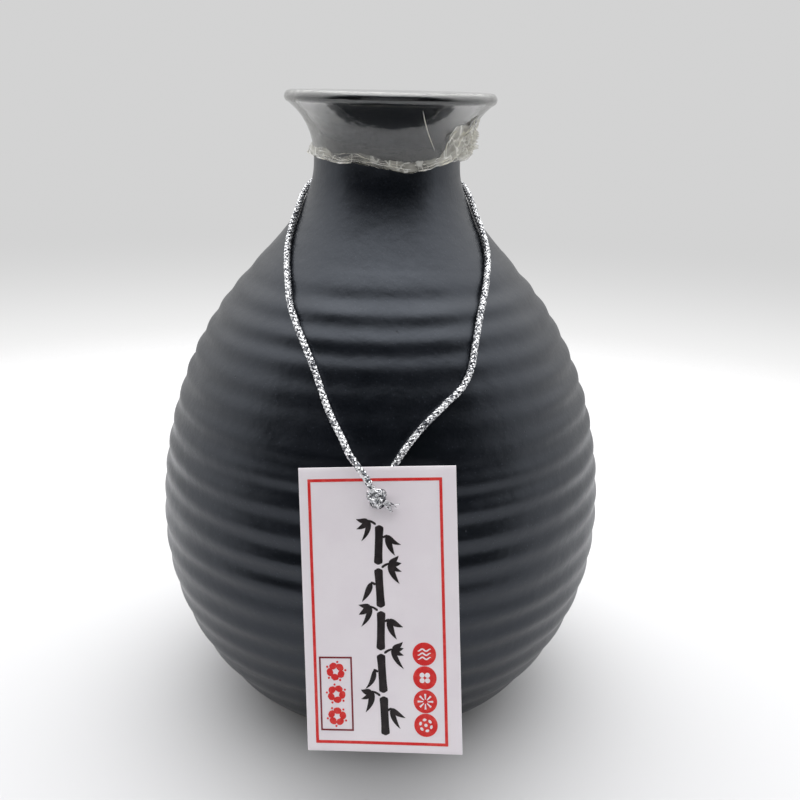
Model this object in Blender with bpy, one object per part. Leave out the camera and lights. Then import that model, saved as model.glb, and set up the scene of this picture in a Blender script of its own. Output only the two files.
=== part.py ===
"""A ribbed stoneware sake bottle with a stopper, a film seal and a paper tag on a braided cord.

Metres, +Z up. The bottle stands on Z = 0 with its axis on Z, and the tag hangs on the -Y side.
"""

import math

import bmesh
import bpy
from mathutils import Euler, Vector

# Turned outline of the bottle: heights above the table, and outer radii. The neck is measured at
# its waist, and the shoulder is where the round body turns into the neck.
BOTTLE_HEIGHT = 0.153
FLARE_LENGTH = 0.0165
NECK_LENGTH = 0.0255
NECK_HEIGHT = BOTTLE_HEIGHT - FLARE_LENGTH
SHOULDER_HEIGHT = NECK_HEIGHT - NECK_LENGTH
BELLY_HEIGHT = 0.0495
FOOT_RADIUS = 0.0318
BELLY_RADIUS = 0.0562
SHOULDER_RADIUS = 0.0338
NECK_RADIUS = 0.0173
LIP_RADIUS = 0.0245
LIP_BEAD = 0.0013
FLARE_SLOPE = 1.3
MOUTH_SLOPE = 1.1

# Wall, base and foot.
WALL = 0.004
BASE_THICKNESS = 0.0065
FLOOR_CORNER = 0.006
FOOT_WIDTH = 0.0045
FOOT_RECESS = 0.0015
FOOT_CHAMFER = 0.0007

# Throwing grooves, from the shoulder down. Each step is a little longer than the last.
GROOVE_BOTTOM = 0.010
GROOVE_STEP = 0.0049
GROOVE_STEP_GROWTH = 0.00016
GROOVE_DEPTH = 0.0007

# Stopper, in the throat of the neck, with its top below the rim.
STOPPER_RECESS = 0.007
STOPPER_LENGTH = 0.020
STOPPER_TAPER = 0.05
STOPPER_CHAMFER = 0.0008

# Film drawn over the mouth, down to a hem just above the neck's waist.
FILM_THICKNESS = 0.0003
HEM_HEIGHT = NECK_HEIGHT + 0.002

# Cord round the neck, its knot and its loose end.
CORD_RADIUS = 0.00075
CORD_POINTS = 56
KNOT_RADII = (CORD_RADIUS + 0.00155, CORD_RADIUS + 0.00095, CORD_RADIUS + 0.00135)
TAIL_LENGTH = 0.0030
TAIL_END_RADIUS = CORD_RADIUS + 0.00035
TAIL_SLANT = math.radians(48)

# Card tag, and the hole that the cord passes through. Drops are measured down from its top edge.
# The tag lies along the slope of the bottle behind it, with the cord between the two.
GAP = 0.0003
TAG_WIDTH = 0.032
TAG_LENGTH = 0.059
TAG_THICKNESS = 0.0005
TAG_TOP_HEIGHT = 0.0816
TAG_SLACK = 0.0004
TAG_STANDOFF = 2 * CORD_RADIUS + 2 * GAP + TAG_SLACK
TAG_REST_DROP = 0.0045
TAG_YAW = math.radians(4)
TAG_TWIST = math.radians(2.8)
HOLE_RADIUS = 0.0017
HOLE_DROP = 0.0070
KNOT_DROP = 0.0059

SEGMENTS = 40
NECK_STEPS = 7
FLARE_STEPS = 4
LIP_STEPS = 8
CAVITY_STEPS = 12
SHARP_ANGLE = math.radians(40)

# The bead of the lip starts under the rim and ends inside the mouth.
BEAD_START = math.radians(-75)
BEAD_TOP = math.radians(90)
BEAD_END = math.radians(165)

# The cord's route: degrees round from the front, height, and how far it is lifted off the bottle.
# It runs from the knot up in front of the tag, round the neck, and down behind the tag.
CORD_ROUTE = [
    (-1.4, 0.0779, 0.00415),
    (-2.5, 0.0793, 0.00415),
    (-4.2, 0.0812, 0.00395),
    (-6.0, 0.0831, 0.00335),
    (-7.7, 0.0855, 0.00225),
    (-10.1, 0.0882, 0.00105),
    (-12.6, 0.0912, 0.00025),
    (-15.4, 0.0950, 0),
    (-18.4, 0.0985, 0),
    (-22.4, 0.1020, 0),
    (-27.4, 0.1055, 0),
    (-33.3, 0.1090, 0),
    (-39.5, 0.1126, 0),
    (-47.0, 0.1160, 0),
    (-56.0, 0.1195, 0),
    (-65.0, 0.1228, 0),
    (-74.0, 0.1262, 0),
    (-88.0, 0.1292, 0),
    (-108.0, 0.1316, 0),
    (-132.0, 0.1332, 0),
    (-157.0, 0.1340, 0),
    (-182.0, 0.1342, 0),
    (-207.0, 0.1339, 0),
    (-231.0, 0.1330, 0),
    (-254.0, 0.1314, 0),
    (-271.5, 0.1290, 0),
    (-283.5, 0.1258, 0),
    (-291.5, 0.1222, 0),
    (-301.0, 0.1184, 0),
    (-311.2, 0.1146, 0),
    (-319.7, 0.1108, 0),
    (-326.6, 0.1066, 0),
    (-331.0, 0.1024, 0),
    (-334.0, 0.0985, 0),
    (-337.8, 0.0950, 0),
    (-344.1, 0.0915, 0),
    (-350.0, 0.0875, 0),
    (-354.1, 0.0835, 0),
    (-356.7, 0.0800, 0),
    (-358.6, 0.0772, 0),
    (-359.5, 0.0755, 0.00015),
    (-359.8, 0.0744, 0.0006),
]


def hermite(start, end, start_slope, end_slope, height):
    """Radius at a height on a cubic between two (height, radius) ends with slopes given there."""
    span = end[0] - start[0]
    t = (height - start[0]) / span
    return (
        (1 + 2 * t) * (1 - t) ** 2 * start[1]
        + t * (1 - t) ** 2 * span * start_slope
        + t**2 * (3 - 2 * t) * end[1]
        + t**2 * (t - 1) * span * end_slope
    )


def half_height(height, radius):
    """Half height of the ellipse centred on the belly that passes through this height and radius."""
    return abs(height - BELLY_HEIGHT) / math.sqrt(1 - (radius / BELLY_RADIUS) ** 2)


def bead_point(angle, offset=0.0):
    """(radius, height) on the lip's round bead, an offset outside it."""
    reach = LIP_BEAD + offset
    return (
        LIP_RADIUS - LIP_BEAD + reach * math.cos(angle),
        BOTTLE_HEIGHT - LIP_BEAD + reach * math.sin(angle),
    )


def outer_radius(height):
    """Outer radius of the bottle from the foot to the bead of the lip, over the groove crests."""
    if height <= SHOULDER_HEIGHT:
        below = height <= BELLY_HEIGHT
        half = half_height(0, FOOT_RADIUS) if below else half_height(SHOULDER_HEIGHT, SHOULDER_RADIUS)
        return BELLY_RADIUS * math.sqrt(1 - ((height - BELLY_HEIGHT) / half) ** 2)
    if height <= NECK_HEIGHT:
        half = half_height(SHOULDER_HEIGHT, SHOULDER_RADIUS)
        lean = (BELLY_HEIGHT - SHOULDER_HEIGHT) / SHOULDER_RADIUS * (BELLY_RADIUS / half) ** 2
        shoulder = (SHOULDER_HEIGHT, SHOULDER_RADIUS)
        return hermite(shoulder, (NECK_HEIGHT, NECK_RADIUS), lean, 0, height)
    bead_radius, bead_height = bead_point(BEAD_START)
    return hermite((NECK_HEIGHT, NECK_RADIUS), (bead_height, bead_radius), 0, FLARE_SLOPE, height)


def outer_point(height, offset=0.0):
    """(radius, height) at an offset outside the bottle's outer surface, square to it."""
    scale = offset / math.hypot(1, slope(height))
    return outer_radius(height) + scale, height - slope(height) * scale


def throat_radius(height):
    """Inner radius of the bottle above the throat."""
    throat = (NECK_HEIGHT, NECK_RADIUS - WALL)
    mouth_radius, mouth_height = bead_point(BEAD_END)
    return hermite(throat, (mouth_height, mouth_radius), 0, MOUTH_SLOPE, height)


def steps(start, end, count):
    """Evenly spaced values after start, up to and with end."""
    return [start + (end - start) * (i + 1) / count for i in range(count)]


def slope(height):
    """Change of the outer radius with height."""
    small = 1e-5
    return (outer_radius(height + small) - outer_radius(height - small)) / (2 * small)


def groove_heights():
    """Heights of the grooves from the lowest one up. The topmost one is at the shoulder."""
    heights = [SHOULDER_HEIGHT]
    step = GROOVE_STEP
    while heights[0] - step > GROOVE_BOTTOM:
        heights.insert(0, heights[0] - step)
        step += GROOVE_STEP_GROWTH
    return heights


def body_outline():
    """Outer outline from the foot to the topmost groove's upper crest, as (radius, height)."""
    grooves = groove_heights()
    crests = [(a + b) / 2 for a, b in zip(grooves, grooves[1:])]
    lowest = grooves[0] - (crests[0] - grooves[0])
    outline = [(outer_radius(z), z) for z in steps(FOOT_CHAMFER, lowest, 3)]
    for groove, crest in zip(grooves, crests + [2 * grooves[-1] - crests[-1]]):
        outline.append((outer_radius(groove) - GROOVE_DEPTH, groove))
        outline.append((outer_radius(crest), crest))
    return outline


def cavity_outline():
    """Inner outline from the mouth down to the middle of the floor."""
    mouth_height = bead_point(BEAD_END)[1]
    outline = [(throat_radius(z), z) for z in steps(mouth_height, NECK_HEIGHT, FLARE_STEPS)]
    corner_height = BASE_THICKNESS + FLOOR_CORNER
    for z in steps(NECK_HEIGHT, corner_height, CAVITY_STEPS):
        outline.append((outer_radius(z) - WALL, z))
    corner_radius = outer_radius(corner_height) - WALL - FLOOR_CORNER
    for angle in steps(0, math.pi / 2, 3):
        radius = corner_radius + FLOOR_CORNER * math.cos(angle)
        outline.append((radius, corner_height - FLOOR_CORNER * math.sin(angle)))
    return outline + [(0, BASE_THICKNESS)]


def foot_outline():
    """Underside, from the middle of the recess to the outer edge of the foot ring."""
    inner = FOOT_RADIUS - FOOT_WIDTH
    return [
        (0, FOOT_RECESS),
        (inner - FOOT_RECESS, FOOT_RECESS),
        (inner, 0),
        (FOOT_RADIUS - FOOT_CHAMFER, 0),
        (outer_radius(FOOT_CHAMFER), FOOT_CHAMFER),
    ]


def bottle_outline():
    body = body_outline()
    neck = [(outer_radius(z), z) for z in steps(body[-1][1], NECK_HEIGHT, NECK_STEPS)]
    bead_height = bead_point(BEAD_START)[1]
    flare = [(outer_radius(z), z) for z in steps(NECK_HEIGHT, bead_height, FLARE_STEPS)]
    lip = [bead_point(angle) for angle in steps(BEAD_START, BEAD_END, LIP_STEPS)]
    return foot_outline() + body + neck + flare + lip + cavity_outline()


def film_side(offset):
    """One face of the film from its hem to the middle of its top."""
    bead_height = bead_point(BEAD_START)[1]
    side = [outer_point(HEM_HEIGHT, offset)]
    side += [outer_point(z, offset) for z in steps(HEM_HEIGHT, bead_height, FLARE_STEPS)]
    side += [bead_point(angle, offset) for angle in steps(BEAD_START, BEAD_TOP, LIP_STEPS - 2)]
    return side + [(0, BOTTLE_HEIGHT + offset)]


def film_outline():
    return film_side(GAP)[::-1] + film_side(GAP + FILM_THICKNESS)


def stopper_outline():
    """Tapered plug that clears the throat by the gap at its narrowest place."""

    def radius(z):
        return NECK_RADIUS - WALL - GAP + (z - NECK_HEIGHT) * STOPPER_TAPER

    top = BOTTLE_HEIGHT - STOPPER_RECESS
    bottom = top - STOPPER_LENGTH
    return [
        (0, bottom),
        (radius(bottom) - STOPPER_CHAMFER, bottom),
        (radius(bottom + STOPPER_CHAMFER), bottom + STOPPER_CHAMFER),
        (radius(top - STOPPER_CHAMFER), top - STOPPER_CHAMFER),
        (radius(top) - STOPPER_CHAMFER, top),
        (0, top),
    ]


def clear_scene():
    for obj in list(bpy.data.objects):
        bpy.data.objects.remove(obj)


def material(name, colour, roughness, metallic=0.0, alpha=1.0):
    made = bpy.data.materials.new(name)
    made.use_nodes = True
    shader = made.node_tree.nodes["Principled BSDF"]
    shader.inputs["Base Color"].default_value = (*colour, 1)
    shader.inputs["Roughness"].default_value = roughness
    shader.inputs["Metallic"].default_value = metallic
    shader.inputs["Alpha"].default_value = alpha
    return made


def place(name, data, finish, parent=None, location=(0, 0, 0), rotation=(0, 0, 0)):
    """Adds an object to the scene, on its parent."""
    obj = bpy.data.objects.new(name, data)
    bpy.context.scene.collection.objects.link(obj)
    obj.parent = parent
    obj.location = location
    obj.rotation_euler = rotation
    if finish:
        data.materials.append(finish)
    return obj


def mesh_of(name, bm):
    """Closes off a bmesh as a smooth-shaded mesh with its faces pointing out."""
    bmesh.ops.remove_doubles(bm, verts=bm.verts, dist=1e-6)
    bmesh.ops.recalc_face_normals(bm, faces=bm.faces)
    data = bpy.data.meshes.new(name)
    bm.to_mesh(data)
    bm.free()
    data.shade_smooth()
    data.set_sharp_from_angle(angle=SHARP_ANGLE)
    return data


def turned(name, outline):
    """Mesh of an outline of (radius, height) points, from axis to axis, spun round Z."""
    bm = bmesh.new()
    verts = [bm.verts.new((radius, 0, height)) for radius, height in outline]
    edges = [bm.edges.new(pair) for pair in zip(verts, verts[1:])]
    turn = {"cent": (0, 0, 0), "axis": (0, 0, 1), "angle": 2 * math.pi, "steps": SEGMENTS}
    bmesh.ops.spin(bm, geom=verts + edges, use_merge=True, **turn)
    return mesh_of(name, bm)


def make_bottle():
    glaze = material("black_glaze", (0.025, 0.027, 0.034), 0.45)
    return place("bottle", turned("bottle", bottle_outline()), glaze)


def make_stopper(bottle):
    cork = material("cork", (0.42, 0.27, 0.15), 0.85)
    return place("cork_stopper", turned("cork_stopper", stopper_outline()), cork, bottle)


def make_film(stopper):
    clear = material("clear_film", (0.9, 0.9, 0.9), 0.12, alpha=0.35)
    return place("seal_film", turned("seal_film", film_outline()), clear, stopper)


def route_points():
    """The cord's route in space."""
    points = []
    for degrees, height, lift in CORD_ROUTE:
        radius, z = outer_point(height, CORD_RADIUS + GAP + lift)
        angle = math.radians(degrees)
        points.append(Vector((radius * math.sin(angle), -radius * math.cos(angle), z)))
    return points


def smooth_curve(points, count):
    """Evenly spaced points on a Catmull-Rom curve through the given ones."""
    ends = [2 * points[0] - points[1], *points, 2 * points[-1] - points[-2]]
    fine = []
    for p0, p1, p2, p3 in zip(ends, ends[1:], ends[2:], ends[3:]):
        for i in range(16):
            t = i / 16
            bend = (2 * p0 - 5 * p1 + 4 * p2 - p3) * t + (3 * p1 - p0 - 3 * p2 + p3) * t * t
            fine.append(p1 + ((p2 - p0) + bend) * t / 2)
    fine.append(points[-1])
    reach = [0.0]
    for a, b in zip(fine, fine[1:]):
        reach.append(reach[-1] + (b - a).length)
    even = []
    k = 0
    for i in range(count):
        target = reach[-1] * i / (count - 1)
        while k < len(reach) - 2 and reach[k + 1] < target:
            k += 1
        part = (target - reach[k]) / (reach[k + 1] - reach[k])
        even.append(fine[k].lerp(fine[k + 1], min(max(part, 0), 1)))
    return even


def silver():
    return material("silver_cord", (0.72, 0.73, 0.75), 0.32, metallic=0.8)


def make_cord(bottle):
    data = bpy.data.curves.new("neck_cord", "CURVE")
    data.dimensions = "3D"
    data.bevel_depth = CORD_RADIUS
    data.bevel_resolution = 2
    data.use_fill_caps = True
    spline = data.splines.new("POLY")
    spline.points.add(CORD_POINTS - 1)
    for point, place_in_space in zip(spline.points, smooth_curve(route_points(), CORD_POINTS)):
        point.co = (*place_in_space, 1)
    return place("neck_cord", data, silver(), bottle)


def tag_hinge(bottle):
    """Empty in the middle of the tag's top edge, on the X axis that the tag swings about."""
    stand = outer_radius(TAG_TOP_HEIGHT) + TAG_STANDOFF + TAG_THICKNESS / 2
    return place("tag_hinge", None, None, bottle, location=(0, -stand, TAG_TOP_HEIGHT))


def on_tag():
    """Turn from the hinge's axes to the tag's: X across it, Y through it, and -Z down it."""
    return Euler((math.atan(slope(TAG_TOP_HEIGHT - TAG_REST_DROP)), -TAG_TWIST, -TAG_YAW), "ZYX")


def make_tag(hinge):
    card = material("white_card", (0.80, 0.78, 0.79), 0.6)
    bm = bmesh.new()
    bmesh.ops.create_cube(bm, size=1)
    bmesh.ops.scale(bm, vec=(TAG_WIDTH, TAG_THICKNESS, TAG_LENGTH), verts=bm.verts)
    bmesh.ops.translate(bm, vec=(0, 0, -TAG_LENGTH / 2), verts=bm.verts)
    tag = place("hang_tag", mesh_of("hang_tag", bm), card, hinge)
    tag.rotation_mode = "ZYX"
    tag.rotation_euler = on_tag()

    punch = bmesh.new()
    bmesh.ops.create_cone(
        punch, cap_ends=True, segments=24, radius1=HOLE_RADIUS, radius2=HOLE_RADIUS, depth=6 * TAG_THICKNESS
    )
    cutter = place("hole_punch", mesh_of("hole_punch", punch), None, tag)
    cutter.location = (0, 0, -HOLE_DROP)
    cutter.rotation_euler = (math.pi / 2, 0, 0)
    cutter.hide_render = True
    cutter.display_type = "WIRE"
    hole = tag.modifiers.new("hole", "BOOLEAN")
    hole.operation = "DIFFERENCE"
    hole.object = cutter
    return tag


def make_knot(tag):
    """Tied lump that lies on the face of the tag, over the top of the hole."""
    bm = bmesh.new()
    bmesh.ops.create_icosphere(bm, subdivisions=2, radius=1)
    bmesh.ops.scale(bm, vec=KNOT_RADII, verts=bm.verts)
    out = TAG_THICKNESS / 2 + GAP + KNOT_RADII[1]
    return place("cord_knot", mesh_of("cord_knot", bm), silver(), tag, location=(0, -out, -KNOT_DROP))


def make_tail(knot):
    """Loose end of the cord beside the knot, pointing down to the right."""
    bm = bmesh.new()
    bmesh.ops.create_cone(
        bm, cap_ends=True, segments=10, radius1=TAIL_END_RADIUS, radius2=CORD_RADIUS, depth=TAIL_LENGTH
    )
    across, _, down = KNOT_RADII
    reach = across * down / math.hypot(across * math.cos(TAIL_SLANT), down * math.sin(TAIL_SLANT))
    reach += GAP + TAIL_LENGTH / 2
    place(
        "cord_tail",
        mesh_of("cord_tail", bm),
        silver(),
        knot,
        location=(reach * math.sin(TAIL_SLANT), 0, -reach * math.cos(TAIL_SLANT)),
        rotation=(0, -TAIL_SLANT, 0),
    )


def main():
    clear_scene()
    bottle = make_bottle()
    stopper = make_stopper(bottle)
    make_film(stopper)
    make_cord(bottle)
    tag = make_tag(tag_hinge(bottle))
    make_tail(make_knot(tag))


main()
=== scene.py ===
import math
import random

import bmesh
import bpy
import numpy as np
from mathutils import Matrix, Vector
from mathutils.noise import noise


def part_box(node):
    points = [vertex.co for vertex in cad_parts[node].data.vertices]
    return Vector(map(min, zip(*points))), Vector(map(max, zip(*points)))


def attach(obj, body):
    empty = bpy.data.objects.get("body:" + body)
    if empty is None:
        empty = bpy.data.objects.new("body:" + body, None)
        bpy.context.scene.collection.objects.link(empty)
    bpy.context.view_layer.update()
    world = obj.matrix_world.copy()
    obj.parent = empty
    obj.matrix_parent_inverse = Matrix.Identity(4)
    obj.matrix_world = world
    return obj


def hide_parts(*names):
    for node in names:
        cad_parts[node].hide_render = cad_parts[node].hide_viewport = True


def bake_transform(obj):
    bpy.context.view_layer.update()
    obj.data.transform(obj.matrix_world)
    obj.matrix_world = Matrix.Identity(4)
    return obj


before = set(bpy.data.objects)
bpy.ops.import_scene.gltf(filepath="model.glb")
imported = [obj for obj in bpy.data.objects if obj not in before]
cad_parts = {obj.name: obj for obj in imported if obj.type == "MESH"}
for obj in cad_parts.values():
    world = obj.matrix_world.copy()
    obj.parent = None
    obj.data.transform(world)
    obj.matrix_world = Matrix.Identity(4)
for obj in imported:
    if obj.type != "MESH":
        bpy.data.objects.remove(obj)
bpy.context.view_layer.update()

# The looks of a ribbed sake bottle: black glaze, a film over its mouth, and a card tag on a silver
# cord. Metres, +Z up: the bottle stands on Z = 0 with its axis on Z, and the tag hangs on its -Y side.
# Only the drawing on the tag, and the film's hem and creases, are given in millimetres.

MM = 0.001
UP = Vector((0, 0, 1))

# Camera: close to the bottle and a little above its rim, looking down at it.
CAMERA_PLACE = (0.00438, -0.2288, 0.1559)
CAMERA_PITCH = math.radians(18.9066)
CAMERA_ROLL = 0.02316
CAMERA_LENS = 42.2

# Body of the bottle: how finely its outline and its rings are cut, and how far it is from true.
OUTLINE_STEP = 0.6 * MM
CAVITY_STRIDE = 3
BODY_SEGMENTS = 168
CORNER_TURN = math.radians(42)
GROOVE_DIP = 0.3 * MM
CORNER_ROUNDING = 0.5 * MM
RIB_SPREAD = 2.6 * MM
RING_WOBBLE = 0.28 * MM
RADIUS_WOBBLE = 0.13 * MM
FOOT_BAND = 4 * MM
FLARE_LEAN = 0.65 * MM
WIPED_HEIGHT = 88 * MM
WIPED_SPREAD = 11 * MM

# Cord: a braid of eight metallised yarns, four each way.
CORD_DIAMETER = 1.5 * MM
CORD_GAP = 0.08 * MM
BRAID_PITCH = 4.4 * MM
BRAID_STEPS_PER_TURN = 24
YARNS_EACH_WAY = 4
YARN_CENTRE = 0.50 * MM
YARN_WEAVE = 0.085 * MM
YARN_WIDTH = 0.30 * MM
YARN_HEIGHT = 0.19 * MM
YARN_SIDES = 7

# The cord's route, as the CAD model has it: degrees round from the front, height, and lift off the
# bottle. It runs from the knot up in front of the tag, round the neck, and down behind the tag.
CORD_ROUTE = [
    (-1.4, 0.0779, 0.00415), (-2.5, 0.0793, 0.00415), (-4.2, 0.0812, 0.00395), (-6.0, 0.0831, 0.00335),
    (-7.7, 0.0855, 0.00225), (-10.1, 0.0882, 0.00105), (-12.6, 0.0912, 0.00025), (-15.4, 0.0950, 0),
    (-18.4, 0.0985, 0), (-22.4, 0.1020, 0), (-27.4, 0.1055, 0), (-33.3, 0.1090, 0),
    (-39.5, 0.1126, 0), (-47.0, 0.1160, 0), (-56.0, 0.1195, 0), (-65.0, 0.1228, 0),
    (-74.0, 0.1262, 0), (-88.0, 0.1292, 0), (-108.0, 0.1316, 0), (-132.0, 0.1332, 0),
    (-157.0, 0.1340, 0), (-182.0, 0.1342, 0), (-207.0, 0.1339, 0), (-231.0, 0.1330, 0),
    (-254.0, 0.1314, 0), (-271.5, 0.1290, 0), (-283.5, 0.1258, 0), (-291.5, 0.1222, 0),
    (-301.0, 0.1184, 0), (-311.2, 0.1146, 0), (-319.7, 0.1108, 0), (-326.6, 0.1066, 0),
    (-331.0, 0.1024, 0), (-334.0, 0.0985, 0), (-337.8, 0.0950, 0), (-344.1, 0.0915, 0),
    (-350.0, 0.0875, 0), (-354.1, 0.0835, 0), (-356.7, 0.0800, 0), (-358.6, 0.0772, 0),
    (-359.5, 0.0755, 0.00015), (-359.8, 0.0744, 0.0006),
]


# ---- meshes


def smoothstep(low, high, x):
    t = np.clip((x - low) / (high - low), 0, 1)
    return t * t * (3 - 2 * t)


def linked(obj):
    bpy.context.scene.collection.objects.link(obj)
    return obj


def mesh_object(name, points, faces, finish, smooth=True):
    """A piece whose faces point outwards."""
    mesh = bpy.data.meshes.new(name)
    mesh.from_pydata([tuple(p) for p in points], [], faces)
    bm = bmesh.new()
    bm.from_mesh(mesh)
    bmesh.ops.recalc_face_normals(bm, faces=bm.faces)
    bm.to_mesh(mesh)
    bm.free()
    if smooth:
        mesh.shade_smooth()
    mesh.materials.append(finish)
    return linked(bpy.data.objects.new(name, mesh))


def grid_faces(rows, columns, close_rows=False, close_columns=False, start=0):
    """Quads over a grid of points, stored row by row from the index start."""
    faces = []
    for i in range(rows if close_rows else rows - 1):
        for j in range(columns if close_columns else columns - 1):
            below, right = (i + 1) % rows, (j + 1) % columns
            here, next_row = start + i * columns, start + below * columns
            faces.append((here + j, here + right, next_row + right, next_row + j))
    return faces


def evenly(points, step=None, count=None):
    """Points spaced evenly along a polyline."""
    points = np.asarray(points, float)
    reach = np.concatenate([[0], np.cumsum(np.linalg.norm(np.diff(points, axis=0), axis=1))])
    count = count or max(2, round(reach[-1] / step) + 1)
    at = np.linspace(0, reach[-1], count)
    return np.stack([np.interp(at, reach, points[:, k]) for k in range(points.shape[1])], axis=1)


def hermite_through(points, sharp_turn=math.pi, pieces=12):
    """A smooth curve through the points. Its corners over sharp_turn stay sharp."""
    points = np.asarray(points, float)
    steps = np.diff(points, axis=0)
    lengths = np.linalg.norm(steps, axis=1)
    ways = steps / lengths[:, None]
    into, out_of = [ways[0]], [ways[0]]
    for before, after in zip(ways, ways[1:]):
        mean = before + after
        sharp = np.dot(before, after) < math.cos(sharp_turn)
        mean = mean / max(np.linalg.norm(mean), 1e-9)
        into.append(before if sharp else mean)
        out_of.append(after if sharp else mean)
    into.append(ways[-1])
    t = (np.arange(pieces) / pieces)[:, None]
    dense = []
    for i, length in enumerate(lengths):
        dense.append(
            (1 + 2 * t) * (1 - t) ** 2 * points[i]
            + t * (1 - t) ** 2 * length * out_of[i]
            + t**2 * (3 - 2 * t) * points[i + 1]
            + t**2 * (t - 1) * length * into[i + 1]
        )
    return np.concatenate([*dense, points[-1:]])


def blurred(points, radius, step):
    """Rounds a polyline off over about this radius. Its ends stay."""
    reach = max(1, round(2 * radius / step))
    weights = np.exp(-0.5 * (np.arange(-reach, reach + 1) * step / radius) ** 2)
    weights /= weights.sum()
    before, after = 2 * points[0] - points[reach:0:-1], 2 * points[-1] - points[-2 : -reach - 2 : -1]
    ends = np.concatenate([before, points, after])
    return np.stack([np.convolve(ends[:, k], weights, "valid") for k in range(points.shape[1])], axis=1)


def cad_points(node):
    """The corners of a CAD node, each once, and its edges."""
    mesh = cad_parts[node].data
    places = np.array([v.co[:] for v in mesh.vertices])
    _, first, index = np.unique(np.round(places, 6), axis=0, return_index=True, return_inverse=True)
    index = index.reshape(-1)
    edges = {tuple(sorted((int(index[e.vertices[0]]), int(index[e.vertices[1]])))) for e in mesh.edges}
    return places[first], edges


def cad_outline(node):
    """(radius, height) of a turned CAD node from axis to axis, where it crosses the plane Y = 0 at X > 0."""
    places, edges = cad_points(node)
    near = (np.abs(places[:, 1]) < 2e-6) & (places[:, 0] > 0)
    beside = {}
    for a, b in edges:
        if a != b and near[a] and near[b]:
            beside.setdefault(a, []).append(b)
            beside.setdefault(b, []).append(a)
    ends = [k for k in beside if len(beside[k]) == 1]
    here, before = min(ends, key=lambda k: places[k, 2]), None
    outline = [(0, places[here, 2])]
    while here is not None:
        outline.append((places[here, 0], places[here, 2]))
        onward = [k for k in beside[here] if k != before]
        before, here = here, onward[0] if onward else None
    return np.array([*outline, (0, outline[-1][1])])


def unit(rows):
    return rows / np.linalg.norm(rows, axis=1)[:, None]


def frames_along(path):
    """Unit directions along a path, and two across it that turn as little as possible."""
    path = np.asarray(path, float)
    along = unit(np.gradient(path, axis=0))
    side = np.cross(along[0], (0.3, 0.2, 1))
    sides = []
    for way in along:
        side = side - np.dot(side, way) * way
        side /= np.linalg.norm(side)
        sides.append(side)
    sides = np.array(sides)
    return along, sides, np.cross(along, sides)


def tube(path, widths, heights=None, sides=8, across=None):
    """Points and faces of a closed oval tube along a path."""
    path = np.asarray(path, float)
    _, first, second = frames_along(path)
    if across is not None:
        first, second = across
    widths = np.broadcast_to(widths, len(path))[:, None]
    heights = widths if heights is None else np.broadcast_to(heights, len(path))[:, None]
    rings = []
    for angle in np.arange(sides) * 2 * math.pi / sides:
        rings.append(path + first * widths * math.cos(angle) + second * heights * math.sin(angle))
    points = np.stack(rings, axis=1).reshape(-1, 3)
    faces = grid_faces(len(path), sides, close_columns=True)
    faces.append(tuple(range(sides)))
    faces.append(tuple((len(path) - 1) * sides + k for k in range(sides)))
    return points, faces


def turned(name, outline, rings, segments, point_of, finish):
    """A closed piece made of rings round the axis, between the two ends of its outline."""
    points = [UP * outline[0, 1], UP * outline[-1, 1]]
    for ring in rings[1:-1]:
        points += [point_of(*ring, 360 * k / segments) for k in range(segments)]
    faces = grid_faces(len(rings) - 2, segments, close_columns=True, start=2)
    last = 2 + (len(rings) - 3) * segments
    for k in range(segments):
        after = (k + 1) % segments
        faces += [(0, 2 + after, 2 + k), (1, last + k, last + after)]
    return mesh_object(name, points, faces, finish)


def joined(parts):
    """The points and faces of several meshes as one."""
    points, faces, start = [], [], 0
    for some_points, some_faces in parts:
        points.extend(some_points)
        faces.extend(tuple(start + k for k in face) for face in some_faces)
        start += len(some_points)
    return points, faces


# ---- materials


class Nodes:
    """Short calls that add nodes to a tree and link them."""

    def __init__(self, tree):
        self.tree = tree

    def add(self, kind, output=0, settings=(), **inputs):
        """Adds a node and returns one of its outputs. An input is its socket's name or number."""
        node = self.tree.nodes.new(kind)
        for name, value in dict(settings).items():
            setattr(node, name, value)
        for name, value in inputs.items():
            slot = int(name[1:]) if name[0] == "i" and name[1:].isdigit() else name.replace("_", " ")
            self.put(node, slot, value)
        return node.outputs[output]

    def put(self, node, slot, value):
        if isinstance(value, bpy.types.NodeSocket):
            self.tree.links.new(value, node.inputs[slot])
        else:
            node.inputs[slot].default_value = value

    def parts(self, vector):
        node = self.tree.nodes.new("ShaderNodeSeparateXYZ")
        self.put(node, 0, vector)
        return node.outputs

    def stretched(self, vector, scale):
        return self.add("ShaderNodeMapping", Vector=vector, Scale=scale)

    def noise(self, vector, size, detail=2.0, roughness=0.5, distortion=0.0):
        """Noise with features of about this size in metres."""
        inputs = dict(Detail=detail, Roughness=roughness, Distortion=distortion)
        return self.add("ShaderNodeTexNoise", "Fac", Vector=vector, Scale=1 / size, **inputs)

    def cells(self, vector, size, output="Distance", feature="F1"):
        return self.add("ShaderNodeTexVoronoi", output, {"feature": feature}, Vector=vector, Scale=1 / size)

    def sloped(self, value, low, high, start=0.0, end=1.0):
        """Goes smoothly from start to end as the value goes from low to high."""
        settings = {"interpolation_type": "SMOOTHSTEP"}
        ends = dict(From_Min=low, From_Max=high, To_Min=start, To_Max=end)
        return self.add("ShaderNodeMapRange", 0, settings, Value=value, **ends)

    def math(self, operation, a, b=0.0):
        return self.add("ShaderNodeMath", 0, {"operation": operation}, i0=a, i1=b)

    def plus(self, a, b):
        return self.math("ADD", a, b)

    def times(self, a, b):
        return self.math("MULTIPLY", a, b)

    def mix(self, factor, a, b):
        return self.add("ShaderNodeMix", 2, {"data_type": "RGBA"}, i0=factor, i6=a, i7=b)

    def bump(self, height, distance, **normal):
        return self.add("ShaderNodeBump", Height=height, Distance=distance, Strength=1.0, **normal)


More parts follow.
